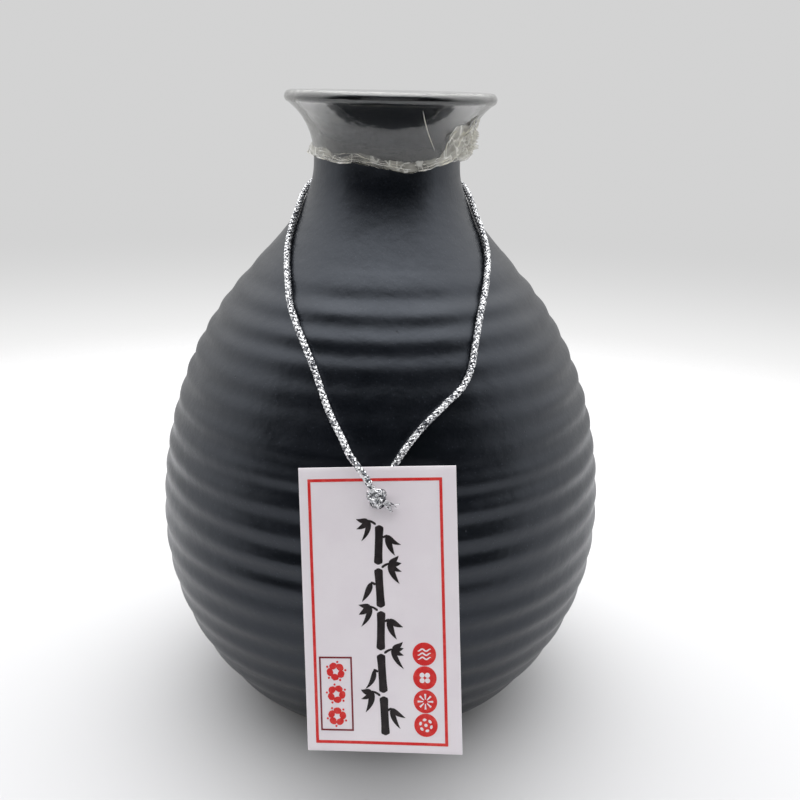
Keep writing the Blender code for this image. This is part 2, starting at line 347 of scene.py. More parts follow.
def rgb(red, green, blue):
    """A colour given as it looks on a screen, from 0 to 255."""
    return (*(((c / 255 + 0.055) / 1.055) ** 2.4 if c > 10 else c / 3295 for c in (red, green, blue)), 1.0)


def new_material(name):
    """A material, its nodes, the place on the piece, and a call that sets the Principled shader."""
    made = bpy.data.materials.new(name)
    made.use_nodes = True
    nodes = Nodes(made.node_tree)
    shader = made.node_tree.nodes["Principled BSDF"]

    def shade(**inputs):
        for slot, value in inputs.items():
            nodes.put(shader, slot.replace("_", " "), value)

    return made, nodes, nodes.add("ShaderNodeTexCoord", "Object"), shade


def glaze_material():
    """Satin blue-black glaze with grit, mottling and pinholes, over bare clay at the foot."""
    made, nodes, place, shade = new_material("black_glaze")
    clouds = nodes.noise(place, 0.014, detail=4, roughness=0.6)
    streaks = nodes.noise(nodes.stretched(place, (1, 1, 5)), 0.016, detail=3, roughness=0.55)
    grit = nodes.noise(place, 0.00045, detail=3, roughness=0.7)
    specks = nodes.sloped(nodes.cells(place, 0.0011), 0.10, 0.16, 1, 0)
    pinholes = nodes.sloped(nodes.cells(place, 0.0090), 0.020, 0.030, 1, 0)

    glaze = nodes.mix(nodes.sloped(clouds, 0.35, 0.65), rgb(4, 7, 12), rgb(9, 12, 18))
    glaze = nodes.mix(nodes.times(specks, 0.18), glaze, rgb(74, 80, 92))
    glaze = nodes.mix(pinholes, glaze, rgb(4, 4, 5))
    clay = nodes.mix(nodes.noise(place, 0.0012, detail=4), rgb(116, 98, 80), rgb(150, 130, 108))
    edge = nodes.plus(nodes.parts(place)[2], nodes.times(clouds, 0.0006))
    bare = nodes.sloped(edge, 0.00105, 0.00125, 1, 0)
    shade(Base_Color=nodes.mix(bare, glaze, clay))

    satin = nodes.sloped(clouds, 0.3, 0.7, 0.31, 0.37)
    satin = nodes.plus(satin, nodes.sloped(grit, 0.3, 0.7, -0.03, 0.04))
    satin = nodes.plus(satin, nodes.sloped(streaks, 0.35, 0.65, -0.02, 0.03))
    shade(Roughness=nodes.math("MAXIMUM", satin, nodes.times(bare, 0.9)))
    fine = nodes.bump(grit, 0.000012)
    holed = nodes.bump(pinholes, -0.00008, Normal=fine)
    shade(Normal=nodes.bump(nodes.noise(place, 0.004, detail=3), 0.00012, Normal=holed))
    shade(IOR=1.54, Specular_Tint=(0.80, 0.87, 1.0, 1.0))
    return made


def film_material():
    """Clear shrunk film, a little milky and unevenly glossy."""
    made, nodes, place, shade = new_material("clear_film")
    haze = nodes.noise(nodes.stretched(place, (1, 1, 3)), 0.006, detail=4, roughness=0.6)
    shade(Base_Color=nodes.mix(haze, rgb(246, 246, 244), rgb(236, 235, 230)))
    shade(Roughness=nodes.sloped(haze, 0.3, 0.75, 0.03, 0.09))
    ripple = nodes.noise(nodes.stretched(place, (1, 1, 2)), 0.0022, detail=2)
    shade(Normal=nodes.bump(ripple, 0.00004))
    shade(IOR=1.52, Transmission_Weight=1.0)
    return made


def gathered_film_material():
    """The film where it is rolled up: whitish, and yellowish where it is thick."""
    made, nodes, place, shade = new_material("gathered_film")
    thick = nodes.noise(place, 0.003, detail=2)
    shade(Base_Color=nodes.mix(nodes.sloped(thick, 0.35, 0.65), rgb(252, 251, 248), rgb(240, 236, 220)))
    shade(Roughness=nodes.sloped(thick, 0.3, 0.7, 0.10, 0.25))
    shade(Alpha=nodes.sloped(nodes.noise(place, 0.0035, detail=1), 0.30, 0.55, 0.35, 1))
    shade(IOR=1.5, Transmission_Weight=0.12)
    return made


def milky_film_material():
    """Crumpled and doubled film: a thin white haze with a few creases."""
    made, nodes, place, shade = new_material("milky_film")
    crease = nodes.noise(nodes.stretched(place, (1, 1, 0.6)), 0.0045, detail=2, roughness=0.5, distortion=0.4)
    lines = nodes.sloped(nodes.math("ABSOLUTE", nodes.math("SUBTRACT", crease, 0.5)), 0.0, 0.03, 1, 0)
    shade(Base_Color=nodes.mix(lines, rgb(238, 236, 226), rgb(255, 254, 248)))
    haze = nodes.sloped(nodes.noise(place, 0.005, detail=2), 0.3, 0.7, 0.18, 0.50)
    shade(Alpha=nodes.math("MINIMUM", nodes.plus(haze, nodes.times(lines, 0.3)), 0.9))
    shade(Roughness=nodes.sloped(crease, 0.3, 0.7, 0.08, 0.2))
    shade(Normal=nodes.bump(crease, 0.00010))
    shade(IOR=1.5)
    return made


def cork_material():
    """Pressed cork granules with dark seams."""
    made, nodes, place, shade = new_material("cork")
    granule = nodes.cells(place, 0.0022, "Color")
    tone = nodes.parts(granule)[0]
    seam = nodes.sloped(nodes.cells(place, 0.0022, feature="DISTANCE_TO_EDGE"), 0.02, 0.09, 1, 0)
    grain = nodes.noise(place, 0.0005, detail=4)
    body = nodes.mix(tone, rgb(150, 108, 68), rgb(200, 160, 112))
    body = nodes.mix(nodes.times(grain, 0.5), body, rgb(120, 82, 50))
    shade(Base_Color=nodes.mix(nodes.times(seam, 0.7), body, rgb(84, 54, 32)))
    shade(Roughness=nodes.sloped(grain, 0.3, 0.7, 0.78, 0.95))
    rough = nodes.bump(grain, 0.0001)
    shade(Normal=nodes.bump(seam, -0.00015, Normal=rough))
    return made


def silver_material():
    """Metallised yarn: bright and dark flakes, each with its own tilt, and fine fibres. The dark flakes are
    partly the yarn's own tone and partly painted shade, and the dark fibre flecks are painted shade.
    """
    made, nodes, place, shade = new_material("silver_cord")
    flake = nodes.cells(place, 0.00042, "Color")
    tone = nodes.parts(flake)
    fibre = nodes.noise(place, 0.00014, detail=2)
    # Painted shade: the dark flakes are partly the yarn's own tone and partly painted shade, and the dark
    # fibre flecks are painted shade, giving the contrast that the bright surroundings don't give a metal.
    flakes_and_painted_shade = nodes.mix(nodes.sloped(tone[0], 0.22, 0.55), rgb(92, 94, 100), rgb(250, 251, 253))
    shade(Base_Color=nodes.mix(nodes.sloped(fibre, 0.25, 0.42, 0.7, 0), flakes_and_painted_shade, rgb(52, 54, 60)))
    shade(Metallic=0.9)
    shade(Roughness=nodes.sloped(tone[1], 0, 1, 0.12, 0.38))
    tilted = nodes.bump(tone[2], 0.00010)
    shade(Normal=nodes.bump(fibre, 0.00003, Normal=tilted))
    return made


def card_material():
    """Smooth white card with faint fibres."""
    made, nodes, place, shade = new_material("white_card")
    cloud = nodes.noise(place, 0.009, detail=3)
    fibre = nodes.noise(nodes.stretched(place, (1, 1, 2.5)), 0.00035, detail=3, roughness=0.65)
    paper = nodes.mix(nodes.sloped(cloud, 0.3, 0.7), rgb(236, 229, 235), rgb(240, 234, 239))
    shade(Base_Color=nodes.mix(nodes.sloped(fibre, 0.55, 0.8, 0, 0.35), paper, rgb(224, 218, 220)))
    shade(Roughness=nodes.sloped(fibre, 0.3, 0.7, 0.5, 0.62))
    shade(Normal=nodes.bump(fibre, 0.000006))
    return made


def ink_material(name, main, thin, gloss):
    """Printed ink that covers a little unevenly."""
    made, nodes, place, shade = new_material(name)
    patchy = nodes.noise(place, 0.0016, detail=4, roughness=0.65)
    grain = nodes.noise(place, 0.0002, detail=2)
    cover = nodes.mix(nodes.sloped(patchy, 0.42, 0.7), main, thin)
    shade(Base_Color=nodes.mix(nodes.sloped(grain, 0.62, 0.8, 0, 0.3), cover, thin))
    shade(Roughness=nodes.sloped(patchy, 0.3, 0.7, gloss, gloss + 0.12))
    shade(Normal=nodes.bump(grain, 0.000005))
    return made


def floor_material(radius):
    """Pale matt table, painted darker towards the front as shade where less light falls, that fades out into
    the background.
    """
    made, nodes, place, shade = new_material("floor")
    # Painted light falloff: the table's colour goes from darker at the front to paler behind the bottle,
    # where more light falls. The faint noise is an even mottle of its own.
    painted_light_falloff = nodes.sloped(nodes.parts(place)[1], -0.24, 0.12)
    faint = nodes.times(nodes.noise(place, 0.05, detail=3), 0.03)
    painted_falloff_and_mottle = nodes.plus(painted_light_falloff, faint)
    shade(Base_Color=nodes.mix(painted_falloff_and_mottle, rgb(188, 188, 190), rgb(214, 214, 215)), Roughness=0.9)
    away = nodes.add("ShaderNodeVectorMath", "Value", settings={"operation": "LENGTH"}, i0=place)
    shade(Alpha=nodes.sloped(away, 0.55 * radius, radius, 1, 0))
    shade(Specular_IOR_Level=0.2)
    return made


# ---- camera


def make_camera():
    data = bpy.data.cameras.new("camera")
    data.sensor_width = 36
    data.lens = CAMERA_LENS
    data.clip_start = 0.01
    data.clip_end = 20
    camera = linked(bpy.data.objects.new("camera", data))
    level = math.pi / 2 - CAMERA_PITCH
    turn = Matrix.Rotation(level, 4, "X") @ Matrix.Rotation(CAMERA_ROLL, 4, "Z")
    camera.matrix_world = Matrix.Translation(CAMERA_PLACE) @ turn
    bpy.context.scene.camera = camera


make_camera()


# ---- the bottle's surface


BOTTLE_OUTLINE = cad_outline("bottle")
RIM_INDEX = int(np.argmax(BOTTLE_OUTLINE[:, 1]))
BOTTLE_TOP = float(BOTTLE_OUTLINE[RIM_INDEX, 1])


def groove_crests():
    """The outer side of the CAD outline without its grooves."""
    side = BOTTLE_OUTLINE[:RIM_INDEX]
    kept = []
    for i, (radius, height) in enumerate(side):
        inner = 0 < i < len(side) - 1 and radius < (side[i - 1, 0] + side[i + 1, 0]) / 2 - GROOVE_DIP
        if height > 0 and not (inner and height < 0.75 * BOTTLE_TOP):
            kept.append((radius, height))
    return hermite_through(kept)


SKIN = groove_crests()
SKIN = SKIN[np.argsort(SKIN[:, 1], kind="stable")]


def skin_point(height, offset):
    """(radius, height) at an offset outside the bottle's groove crests."""
    span = 0.2 * MM
    low, high = (float(np.interp(height + d, SKIN[:, 1], SKIN[:, 0])) for d in (-span, span))
    slope = (high - low) / (2 * span)
    out = offset / math.hypot(1, slope)
    return float(np.interp(height, SKIN[:, 1], SKIN[:, 0])) + out, height - slope * out


def lean(height):
    """How far the flare and its rim stand to the right of the axis, as they were thrown."""
    return FLARE_LEAN * float(smoothstep(0.895 * BOTTLE_TOP, BOTTLE_TOP, height))


def round_axis(degrees, radius, height):
    """Point at degrees round from the front, positive to the right as seen from the front."""
    angle = math.radians(degrees)
    return Vector((radius * math.sin(angle), -radius * math.cos(angle), height))


def leaning(place):
    return place + Vector((lean(place.z), 0, 0))


# ---- the tag's plane


class TagPlane:
    """Places points given in millimetres across the tag, down from its top edge, and out of its middle."""

    def __init__(self):
        places, _ = cad_points("hang_tag")
        middle = places.mean(axis=0)
        _, _, ways = np.linalg.svd(places - middle)
        down, across, out = ways
        self.down = down * -np.sign(down[2])
        self.across = across * np.sign(across[0])
        self.out = out * -np.sign(out[1])
        spans = places @ np.stack([self.across, self.down, self.out], axis=1)
        lows, highs = spans.min(axis=0), spans.max(axis=0)
        self.width, self.length, self.thickness = (float(x) for x in highs - lows)
        centre = (lows + highs) / 2
        self.top = centre[0] * self.across + lows[1] * self.down + centre[2] * self.out

    def warp(self, across, down):
        """How far the card stands out of its plane: it curls at the sides and twists towards its foot."""
        u, v = across / (self.width / MM / 2), down / (self.length / MM)
        return 0.95 * u * v + 0.22 * u * u * (1 - 0.4 * v) - 0.5 * v * (1 - v)

    def flat(self, place):
        """(across, down, out) of a place, in millimetres, on the CAD's flat tag."""
        away = (np.array(place) - self.top) / MM
        return away @ self.across, away @ self.down, away @ self.out

    def point(self, across, down, out=0.0):
        """A point in the row frame, from millimetres. The last is measured out of the card's middle."""
        out = out + self.warp(across, down)
        return Vector(self.top + (self.across * across + self.down * down + self.out * out) * MM)


def middle_of(node):
    low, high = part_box(node)
    return (Vector(low) + Vector(high)) / 2


def tag_hole():
    """How far down the tag its hole is, and the hole's radius, in millimetres."""
    flat = np.array([TAG.flat(place) for place in cad_points("hang_tag")[0]])
    rim = flat[(np.abs(flat[:, 0]) < TAG.width / MM / 4) & (flat[:, 1] > 1)]
    return (rim[:, 1].min() + rim[:, 1].max()) / 2, (rim[:, 1].max() - rim[:, 1].min()) / 2


TAG = TagPlane()
HOLE_DROP, HOLE_RADIUS = tag_hole()
KNOT_DROP = TAG.flat(middle_of("cord_knot"))[1]
FACE = TAG.thickness / MM / 2


# ---- cord


def braid(path, radius_scale=1.0, start_turn=0.0):
    """A tubular braid along a path: yarns wind both ways, over one and under one."""
    path = evenly(path, step=BRAID_PITCH / BRAID_STEPS_PER_TURN)
    _, side, up = frames_along(path)
    reach = np.arange(len(path)) * BRAID_PITCH / BRAID_STEPS_PER_TURN
    turn = 2 * math.pi * reach / BRAID_PITCH
    parts = [tube(path, (YARN_CENTRE - 0.5 * YARN_HEIGHT) * radius_scale, sides=10)]
    for way in (1, -1):
        for k in range(YARNS_EACH_WAY):
            angle = start_turn + way * turn + k * 2 * math.pi / YARNS_EACH_WAY
            lift = YARN_CENTRE + way * YARN_WEAVE * np.cos(YARNS_EACH_WAY * turn)
            outward = side * np.cos(angle)[:, None] + up * np.sin(angle)[:, None]
            yarn = path + outward * (lift * radius_scale)[:, None]
            across = unit(np.cross(np.gradient(yarn, axis=0), outward))
            size = (YARN_WIDTH * radius_scale, YARN_HEIGHT * radius_scale)
            parts.append(tube(yarn, *size, sides=YARN_SIDES, across=(across, outward)))
    return joined(parts)


def cord_path():
    """The cord's centreline, out of the knot, round the neck, and through the tag's hole to the knot."""
    points = [TAG.point(-0.5, KNOT_DROP - 1.0, FACE + 2.2)]
    for degrees, height, lift in CORD_ROUTE:
        points.append(round_axis(degrees, *skin_point(height, CORD_DIAMETER / 2 + CORD_GAP + lift)))
    points.append(TAG.point(0.1, HOLE_DROP - 0.3, -FACE))
    points.append(TAG.point(0.0, KNOT_DROP + 0.9, FACE + 0.7))
    return evenly(hermite_through([p[:] for p in points], pieces=16), step=0.5 * MM)


SILVER = silver_material()
CORD_PATH = cord_path()
cord = mesh_object("braided_cord", *braid(CORD_PATH), SILVER)


def make_knot():
    """Overhand knot pulled tight on the face of the tag."""
    size = (0.50, 0.56)
    lift = 0.62
    points = []
    for t in np.linspace(0.35, 0.35 + 2 * math.pi, 120):
        across = size[0] * (math.sin(t) + 2 * math.sin(2 * t))
        down = size[1] * (math.cos(t) - 2 * math.cos(2 * t))
        points.append(TAG.point(across, KNOT_DROP - down, FACE + 1.75 - lift * math.sin(3 * t))[:])
    return mesh_object("knot", *braid(points, radius_scale=0.96), SILVER)


def make_tail():
    """Frayed end of the cord: loose yarns that point down to the right."""
    rng = random.Random(11)
    parts = []
    for k in range(7):
        spread = (k - 3) * 0.13 + rng.uniform(-0.05, 0.05)
        slant = math.radians(46) + spread
        reach = rng.uniform(2.3, 3.4) * (1 - 0.3 * abs(spread))
        curl = rng.uniform(-0.3, 0.3)
        points = []
        for t in np.arange(8) / 7:
            away, turned_by = 0.7 + reach * t, slant + curl * t * t
            across, down = 0.9 + away * math.sin(turned_by), KNOT_DROP + 0.5 + away * math.cos(turned_by)
            points.append(TAG.point(across, down, FACE + 1.3 - 0.75 * t + 0.3 * (k % 3) * t)[:])
        path = evenly(hermite_through(points, pieces=3), count=24)
        thin = np.linspace(0.27, 0.13, len(path)) * MM
        parts.append(tube(path, thin, 0.5 * thin, sides=6))
    return mesh_object("frayed_end", *joined(parts), SILVER)


knot = make_knot()
tail = make_tail()


# ---- bottle


def fine_outline():
    """The CAD outline with rounded ribs, one without ribs, and how loosely each point was thrown."""
    dense = hermite_through(BOTTLE_OUTLINE, sharp_turn=CORNER_TURN)
    fine = evenly(dense, step=OUTLINE_STEP)
    ribbed = blurred(fine, CORNER_ROUNDING, OUTLINE_STEP)
    flat = blurred(fine, RIB_SPREAD, OUTLINE_STEP)
    for outline in (ribbed, flat):
        outline[[0, -1], 0] = 0
    rim = int(np.argmax(ribbed[:, 1]))
    waist = int(np.argmin(np.where(np.arange(len(fine)) < rim, np.abs(fine[:, 1] - 0.76 * BOTTLE_TOP), 1)))
    outer = smoothstep(FOOT_BAND, 3 * FOOT_BAND, ribbed[:, 1]) * (np.arange(len(fine)) < waist)
    cavity = rim + round(3 * MM / OUTLINE_STEP)
    kept = [*range(cavity), *range(cavity, len(fine) - 1, CAVITY_STRIDE), len(fine) - 1]
    return ribbed[kept], flat[kept], outer[kept]


def thrown_point(ribbed, flat, loose, degrees):
    """A point of the body, where the potter's hand left each rib a little high, low, deep or shallow."""
    way = round_axis(degrees, 1, 0)
    where = Vector((way.x * 1.1, way.y * 1.1, ribbed[1] / 0.016))
    depth = 1 + loose * (0.5 * noise(where * 1.7) - 0.2)
    lift = loose * RING_WOBBLE * noise(where + Vector((7, 3, 1)))
    swell = min(loose + 0.3, 1) * RADIUS_WOBBLE * noise(Vector((way.x, way.y, ribbed[1] / 0.05)))
    if loose:
        depth *= 1 - 0.25 * smoothstep(0.62 * BOTTLE_TOP, 0.74 * BOTTLE_TOP, ribbed[1])
        wiped = math.exp(-(((ribbed[1] - WIPED_HEIGHT) / WIPED_SPREAD) ** 4))
        depth *= 1 - 0.7 * wiped * smoothstep(0.45, 0.9, -way.y)
    radius, height = flat + (ribbed - flat) * depth
    radius += swell * min(1.0, radius / 0.01)
    return leaning(way * radius + UP * max(height + lift, 0.0))


RIBBED, FLAT, LOOSE = fine_outline()
rings = list(zip(RIBBED, FLAT, LOOSE))
bottle = turned("bottle_body", RIBBED, rings, BODY_SEGMENTS, thrown_point, glaze_material())


# ---- stopper


CORK_STEP = 0.35 * MM
CORK_SEGMENTS = 96
CORK_CORNER_TURN = math.radians(20)


def make_stopper():
    """Cork with rounded edges and small pits in its sides and top."""
    outline = hermite_through(cad_outline("cork_stopper"), sharp_turn=CORK_CORNER_TURN, pieces=40)
    fine = blurred(evenly(outline, step=CORK_STEP), CORK_STEP, CORK_STEP)
    fine[[0, -1], 0] = 0
    middle = UP * (fine[0, 1] + fine[-1, 1]) / 2

    def pitted(radius, height, degrees):
        place = round_axis(degrees, radius, height)
        pit = smoothstep(0.22, 0.5, noise(place / (1.7 * MM))) * 0.28 * MM
        return leaning(place + (middle - place).normalized() * pit)

    return turned("cork", fine, fine, CORK_SEGMENTS, pitted, cork_material())


stopper = make_stopper()


# ---- film


# The film's ragged hem: degrees round from the front, and mm above the neck's waist.
FILM_HEM = [
    (-90, 2.0), (-72, 1.5), (-52, 1.0), (-36, 0.6), (-22, 0.7), (-10, 0.2), (4, -0.5),
    (17, -1.1), (28, -0.5), (40, 0.3), (52, 0.9), (62, 2.2), (74, 1.8), (90, 2.6),
    (115, 1.8), (140, 2.6), (165, 1.2), (190, 2.4), (215, 1.0), (242, 2.9),
]
FILM_SEGMENTS = 320
FLARE_ROWS = 36
FILM_SAG = 0.9 * MM
FILM_OFFSET = 0.16 * MM
FILM_THICKNESS = 0.07 * MM
GATHER_DEGREES = 76
GATHER_SPREAD = 22
WAIST_HEIGHT = float(SKIN[np.argmin(np.where(SKIN[:, 1] > 0.8 * BOTTLE_TOP, SKIN[:, 0], 1)), 1])


HEM_CURVE = hermite_through([*FILM_HEM, (FILM_HEM[0][0] + 360, FILM_HEM[0][1])], pieces=8)


def hem_height(degrees):
    at = (degrees + 90) % 360 - 90
    ragged = 0.22 * noise(round_axis(degrees, 9, 0)) + 0.10 * noise(round_axis(degrees, 26, 3))
    return WAIST_HEIGHT + (float(np.interp(at, *HEM_CURVE.T)) + ragged) * MM


def gather(degrees, height):
    """From 0 to 1, how much the film is bunched up at this place, on the right of the flare."""
    away = (degrees - GATHER_DEGREES + 180) % 360 - 180
    low = WAIST_HEIGHT + 5 * MM
    return math.exp(-((away / GATHER_SPREAD) ** 2) - ((height - low) / (5 * MM)) ** 2)


def film_profile():
    """(radius, height) of the film from under the lip, over its bead, and level to the axis."""
    side = hermite_through(BOTTLE_OUTLINE, sharp_turn=CORNER_TURN)
    side = side[: int(np.argmax(side[:, 1])) + 1]
    way = unit(np.gradient(side, axis=0))
    outer = side + np.stack([way[:, 1], -way[:, 0]], axis=1) * FILM_OFFSET
    outer = outer[side[:, 1] > BOTTLE_TOP - 3.6 * MM]
    return evenly([*outer, (0, outer[-1, 1])], step=0.35 * MM)


def film_point(degrees, radius, height, out):
    """A point of the film with its ripples and folds. out is 0 on the top and 1 on the flare."""
    way = round_axis(degrees, 1, 0)
    place = leaning(way * radius + UP * height)
    bunch = gather(degrees, height) * out
    ripple = 0.07 * noise(place / (5 * MM)) + 0.03 * noise(place / (1.6 * MM))
    folds = abs(noise(Vector((degrees / 5.2, height / (3.2 * MM), 4))))
    folds += 0.5 * abs(noise(Vector((degrees / 2.2 + height / MM, height / (1.6 * MM), 9))))
    push = (0.06 + ripple) * out + bunch * (1.5 * folds)
    return place + way * max(push, 0) * MM


def flare_point(degrees, rise, under_lip):
    """A point of the film on the flare, from 0 at its hem to 1 under the lip."""
    hem = hem_height(degrees)
    height = hem + (under_lip[1] - hem) * rise
    radius = skin_point(height, 0)[0] + FILM_OFFSET
    radius += (under_lip[0] - skin_point(under_lip[1], 0)[0] - FILM_OFFSET) * rise
    edge = max(0.0, 1 - (height - hem) / (1.3 * MM))
    curl = edge**2 * (0.55 + 0.45 * noise(round_axis(degrees, 5, 1))) * MM
    return film_point(degrees, radius + curl, height, 1)


def mouth_point(degrees, radius, height, widest):
    """A point of the film on the lip or across the mouth, where it sags."""
    inside = smoothstep(0.9, 0.0, radius / widest)
    sag = FILM_SAG * inside + 0.10 * MM * inside * noise(round_axis(degrees, radius / (4 * MM), 2))
    on_side = 1 if height < BOTTLE_TOP - 1 * MM else 0
    return film_point(degrees, radius, height, on_side) - UP * sag


def make_film():
    """The film from its hem up the flare, over the bead and across the mouth."""
    lip = film_profile()
    around = [360 * k / FILM_SEGMENTS for k in range(FILM_SEGMENTS)]
    rises = [i / FLARE_ROWS for i in range(FLARE_ROWS)]
    points = [flare_point(degrees, rise, lip[0]) for rise in rises for degrees in around]
    points += [mouth_point(degrees, *place, lip[:, 0].max()) for place in lip[:-1] for degrees in around]
    rows = len(points) // FILM_SEGMENTS
    faces = grid_faces(rows, FILM_SEGMENTS, close_columns=True)
    last = (rows - 1) * FILM_SEGMENTS
    points.append(leaning(UP * (lip[-1, 1] - FILM_SAG)))
    for k in range(FILM_SEGMENTS):
        faces.append((last + k, last + (k + 1) % FILM_SEGMENTS, len(points) - 1))
    film = mesh_object("film_seal", points, faces, FILM)
    shell = film.modifiers.new("thickness", "SOLIDIFY")
    shell.thickness = FILM_THICKNESS
    shell.offset = -1
    return film


FILM = film_material()
GATHERED = gathered_film_material()
MILKY = milky_film_material()
film = make_film()


def film_surface(degrees, height, out=0.0):
    """A point some millimetres out of the film's outside."""
    radius = skin_point(height, 0)[0] + FILM_OFFSET + out * MM
    return film_point(degrees, radius, height, 1)


def hem_curl(degrees):
    """How far the rolled hem stands out, in mm: most at the left."""
    side = math.exp(-((((degrees + 84 + 180) % 360 - 180) / 12) ** 2))
    return 0.34 + 0.22 * noise(round_axis(degrees, 3, 1)) + 0.9 * side


# Ridges of the hem: height above its edge and half width, in mm, and share of the hem's curl.
HEM_RIDGES = [(0.0, 0.19, 1), (0.65, 0.13, 0.8), (1.15, 0.13, 0.5), (1.75, 0.10, 0.25)]


def make_hem():
    """Rolled ridges that come together and part as they go round."""
    lines = []
    for k, (above, width, share) in enumerate(HEM_RIDGES):
        path, widths = [], []
        for degrees in np.linspace(0, 360, 901):
            apart = above * (1 + 0.8 * noise(round_axis(degrees, 2.6, 7 * k)))
            curl = hem_curl(degrees) * share + 0.05 * noise(round_axis(degrees, 6, 3 * k))
            path.append(film_surface(degrees, hem_height(degrees) + apart * MM, curl)[:])
            thick = 0.42 + 1.3 * noise(round_axis(degrees, 2.3 + k, 5 + 9 * k))
            widths.append(width * min(max(0.16, thick), 1.0))
        widths = np.array(widths) * MM
        lines.append(tube(path, widths, 1.5 * widths, sides=8))
    return mesh_object("film_hem", *joined(lines), GATHERED)


def make_hem_band():
    """The doubled film between the ridges of the hem."""
    columns, rows = 540, 9
    points = []
    for rise in np.arange(rows) / (rows - 1):
        for degrees in 360 * np.arange(columns) / columns:
            reach = 1.9 * MM * (1 + 0.6 * noise(round_axis(degrees, 2.6, 14)))
            height = hem_height(degrees) + rise * reach
            ruffle = 0.14 * noise(round_axis(degrees, 7, 3 * rise))
            out = hem_curl(degrees) * (1 - rise) ** 0.7 + ruffle * (1 - rise) + 0.05
            points.append(film_surface(degrees, height, out))
    return mesh_object("film_hem_band", points, grid_faces(rows, columns, close_columns=True), MILKY)


def fold(start, end, out, width, bend, seed):
    """A raised crease between two places, given in degrees and mm above the waist."""
    rng = random.Random(seed)
    sway = rng.uniform(-bend, bend)
    points = []
    for t in np.arange(14) / 13:
        degrees = start[0] + (end[0] - start[0]) * t + sway * math.sin(math.pi * t)
        height = WAIST_HEIGHT + (start[1] + (end[1] - start[1]) * t) * MM
        points.append(film_surface(degrees, height, out * math.sin(math.pi * t) + 0.05)[:])
    path = evenly(hermite_through(points, pieces=3), count=36)
    thick = width * (0.25 + 0.75 * np.sin(np.linspace(0.12, math.pi - 0.12, len(path)))) * MM
    return tube(path, thick, 0.6 * thick, sides=6)


def crumple(middle, low, high, spread, out, seed):
    """A crumpled sheet that stands off the flare between two heights, in mm above the waist."""
    side = 34
    points = []
    shares = np.arange(side) / (side - 1)
    for rise in shares:
        for across in 2 * shares - 1:
            where = Vector((across * 1.5, rise * 1.2, seed * 3.7))
            degrees = middle + spread * across + 5 * noise(where * 2) + 7 * (rise - 0.5)
            above = low + (high - low) * rise + 0.7 * noise(where * 2 + Vector((5, 2, 8)))
            inside = (1 - across**4) * (1 - (2 * rise - 1) ** 4)
            ridges = 1 - 2.4 * abs(noise(Vector((across * 3.0 - 2.2 * rise, rise * 0.9, seed * 1.9))))
            ridges += 0.25 - 0.5 * abs(noise(Vector((across * 6 - 3 * rise, rise * 2, seed * 5.1))))
            height = WAIST_HEIGHT + above * MM
            points.append(film_surface(degrees, height, 0.1 + inside * out * max(ridges, 0)))
    return points, grid_faces(side, side)


def make_folds():
    """The crease on the front of the flare, and ridges in the bunch of film on its right."""
    rng = random.Random(5)
    parts = [fold((18.5, 12.2), (37, 3.6), 0.12, 0.13, 1.5, 1)]
    for k in range(15):
        degrees, low = GATHER_DEGREES + rng.uniform(-26, 16), rng.uniform(1.2, 6.0)
        end = (degrees + rng.uniform(-4, 15), low + rng.uniform(2.5, 5.5))
        width, out = rng.uniform(0.12, 0.26), rng.uniform(0.3, 1.1)
        parts.append(fold((degrees, low), end, out, width, 6, k + 20))
    return mesh_object("film_folds", *joined(parts), GATHERED)


def make_crumples():
    """Crumpled sheets in the same bunch."""
    sheets = [
        crumple(GATHER_DEGREES - 4, 1.4, 9.0, 27, 1.2, 1),
        crumple(GATHER_DEGREES + 4, 0.9, 6.6, 22, 1.9, 2),
        crumple(GATHER_DEGREES + 9, 1.8, 8.0, 15, 2.4, 3),
    ]
    return mesh_object("film_crumples", *joined(sheets), MILKY)


hem = make_hem()
hem_band = make_hem_band()
folds = make_folds()
crumples = make_crumples()


# ---- tag


CARD = card_material()
RED = ink_material("red_print", rgb(214, 36, 36), rgb(226, 70, 64), 0.42)
DARK_RED = ink_material("dark_red_print", rgb(120, 26, 38), rgb(142, 44, 54), 0.42)
BLACK = ink_material("black_print", rgb(26, 20, 22), rgb(44, 36, 38), 0.36)


